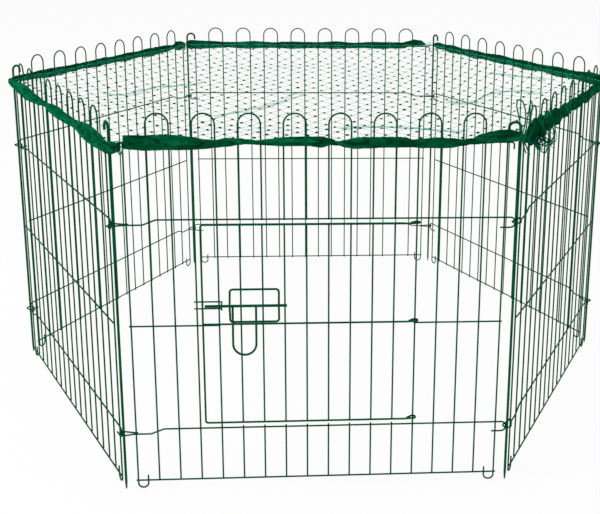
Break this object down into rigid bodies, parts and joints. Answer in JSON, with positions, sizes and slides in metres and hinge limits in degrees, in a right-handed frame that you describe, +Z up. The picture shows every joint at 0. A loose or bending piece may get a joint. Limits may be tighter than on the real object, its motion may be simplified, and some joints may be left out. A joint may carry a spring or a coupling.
{
  "type": "outdoor rabbit run",
  "caption": "Hexagonal green wire run for rabbits with hinged panels, a door with a slide latch, corner stakes and a net cover with a drawstring hem.",
  "frame": {"origin": "on the ground below the middle of the run", "axes": "+X along the front panel to the right, +Y from the front to the back, +Z up"},
  "size_m": [1.1026, 1.0424, 0.59],
  "materials": {
    "powder_coat": "semi-gloss dark green powder coat over drawn wire",
    "stake_coat": "semi-gloss dark green powder coat, scuffed at the point",
    "net_thread": "thin knotted green net thread",
    "hem_fabric": "dark green woven polyester sleeve, bunched",
    "drawstring": "dark green braided cord"
  },
  "bodies": {
    "panel_front": {"front_hairpins": "powder_coat", "front_side_wires": "powder_coat", "front_rails": "powder_coat", "front_lower_bars": "powder_coat", "latch_keeper": "powder_coat"},
    "panel_right_front": {"right_front_hairpins": "powder_coat", "right_front_side_wires": "powder_coat", "right_front_rails": "powder_coat"},
    "panel_right_back": {"right_back_hairpins": "powder_coat", "right_back_side_wires": "powder_coat", "right_back_rails": "powder_coat"},
    "panel_back": {"back_hairpins": "powder_coat", "back_side_wires": "powder_coat", "back_rails": "powder_coat"},
    "panel_left_back": {"left_back_hairpins": "powder_coat", "left_back_side_wires": "powder_coat", "left_back_rails": "powder_coat"},
    "panel_left_front": {"left_front_hairpins": "powder_coat", "left_front_side_wires": "powder_coat", "left_front_rails": "powder_coat"},
    "door": {"door_frame": "powder_coat", "door_bars": "powder_coat", "door_mid_rail": "powder_coat", "latch_guide": "powder_coat"},
    "latch_bolt": {"latch_bolt": "powder_coat"},
    "latch_handle": {"latch_handle": "powder_coat"},
    "stake_front_right": {"stake_front_right": "stake_coat"},
    "stake_right": {"stake_right": "stake_coat"},
    "stake_back_right": {"stake_back_right": "stake_coat"},
    "stake_back_left": {"stake_back_left": "stake_coat"},
    "stake_left": {"stake_left": "stake_coat"},
    "stake_front_left": {"stake_front_left": "stake_coat"},
    "net": {"net_cover": "net_thread"},
    "hem_front": {"hem_front": "hem_fabric", "drawstring_left": "drawstring", "drawstring_right": "drawstring", "drawstring_knot": "drawstring"},
    "hem_right_front": {"hem_right_front": "hem_fabric", "drawstring_loose": "drawstring"},
    "hem_right_back": {"hem_right_back": "hem_fabric"},
    "hem_back": {"hem_back": "hem_fabric"},
    "hem_left_back": {"hem_left_back": "hem_fabric"},
    "hem_left_front": {"hem_left_front": "hem_fabric"}
  },
  "joints": [
    {"name": "fold", "type": "hinge", "parent": "panel_front", "child": "panel_left_front", "pos_m": [-0.285, -0.50787, 0], "axis": [0, 0, 1], "range_deg": [0, 53], "deforming": ["net_cover", "drawstring_left", "drawstring_right", "drawstring_knot", "drawstring_loose"]},
    {"name": "fold_left", "type": "hinge", "parent": "panel_left_front", "child": "panel_left_back", "pos_m": [-0.54378, 0, 0], "axis": [0, 0, 1], "range_deg": [-106, 0]},
    {"name": "fold_back_left", "type": "hinge", "parent": "panel_left_back", "child": "panel_back", "pos_m": [-0.285, 0.50787, 0], "axis": [0, 0, 1], "range_deg": [0, 53]},
    {"name": "fold_front_right", "type": "hinge", "parent": "panel_front", "child": "panel_right_front", "pos_m": [0.285, -0.50787, 0], "axis": [0, 0, 1], "range_deg": [-53, 0]},
    {"name": "fold_right", "type": "hinge", "parent": "panel_right_front", "child": "panel_right_back", "pos_m": [0.54378, 0, 0], "axis": [0, 0, 1], "range_deg": [0, 106]},
    {"name": "door_swing", "type": "hinge", "parent": "panel_front", "child": "door", "pos_m": [0.1413, -0.50787, 0], "axis": [0, 0, 1], "range_deg": [0, 150]},
    {"name": "latch_slide", "type": "slide", "parent": "door", "child": "latch_bolt", "axis": [1, 0, 0], "range_m": [0, 0.029]},
    {"name": "handle_swing", "type": "hinge", "parent": "latch_bolt", "child": "latch_handle", "pos_m": [-0.105, -0.51442, 0.29], "axis": [-1, 0, 0], "range_deg": [0, 165]},
    {"name": "pull_stake_front_right", "type": "slide", "parent": "panel_front", "child": "stake_front_right", "axis": [0, 0, 1], "range_m": [0, 0.44]},
    {"name": "pull_stake_right", "type": "slide", "parent": "panel_right_front", "child": "stake_right", "axis": [0, 0, 1], "range_m": [0, 0.44]},
    {"name": "pull_stake_back_right", "type": "slide", "parent": "panel_right_back", "child": "stake_back_right", "axis": [0, 0, 1], "range_m": [0, 0.44]},
    {"name": "pull_stake_back_left", "type": "slide", "parent": "panel_back", "child": "stake_back_left", "axis": [0, 0, 1], "range_m": [0, 0.44]},
    {"name": "pull_stake_left", "type": "slide", "parent": "panel_left_back", "child": "stake_left", "axis": [0, 0, 1], "range_m": [0, 0.44]},
    {"name": "pull_stake_front_left", "type": "slide", "parent": "panel_left_front", "child": "stake_front_left", "axis": [0, 0, 1], "range_m": [0, 0.44]},
    {"name": "net_lift", "type": "slide", "parent": "panel_front", "child": "net", "axis": [0, 0, 1], "range_m": [0, 0.2]},
    {"name": "hem_lift_front", "type": "slide", "parent": "panel_front", "child": "hem_front", "axis": [0, 0, 1], "range_m": [0, 0.2]},
    {"name": "hem_lift_right_front", "type": "slide", "parent": "panel_right_front", "child": "hem_right_front", "axis": [0, 0, 1], "range_m": [0, 0.2]},
    {"name": "hem_lift_right_back", "type": "slide", "parent": "panel_right_back", "child": "hem_right_back", "axis": [0, 0, 1], "range_m": [0, 0.2]},
    {"name": "hem_lift_back", "type": "slide", "parent": "panel_back", "child": "hem_back", "axis": [0, 0, 1], "range_m": [0, 0.2]},
    {"name": "hem_lift_left_back", "type": "slide", "parent": "panel_left_back", "child": "hem_left_back", "axis": [0, 0, 1], "range_m": [0, 0.2]},
    {"name": "hem_lift_left_front", "type": "slide", "parent": "panel_left_front", "child": "hem_left_front", "axis": [0, 0, 1], "range_m": [0, 0.2]}
  ],
  "couplings": [
    {"joint": "fold_left", "follows": "fold", "ratio": -2},
    {"joint": "fold_back_left", "follows": "fold", "ratio": 1},
    {"joint": "fold_front_right", "follows": "fold", "ratio": -1},
    {"joint": "fold_right", "follows": "fold", "ratio": 2},
    {"joint": "hem_lift_front", "follows": "net_lift", "ratio": 1},
    {"joint": "hem_lift_right_front", "follows": "net_lift", "ratio": 1},
    {"joint": "hem_lift_right_back", "follows": "net_lift", "ratio": 1},
    {"joint": "hem_lift_back", "follows": "net_lift", "ratio": 1},
    {"joint": "hem_lift_left_back", "follows": "net_lift", "ratio": 1},
    {"joint": "hem_lift_left_front", "follows": "net_lift", "ratio": 1}
  ]
}
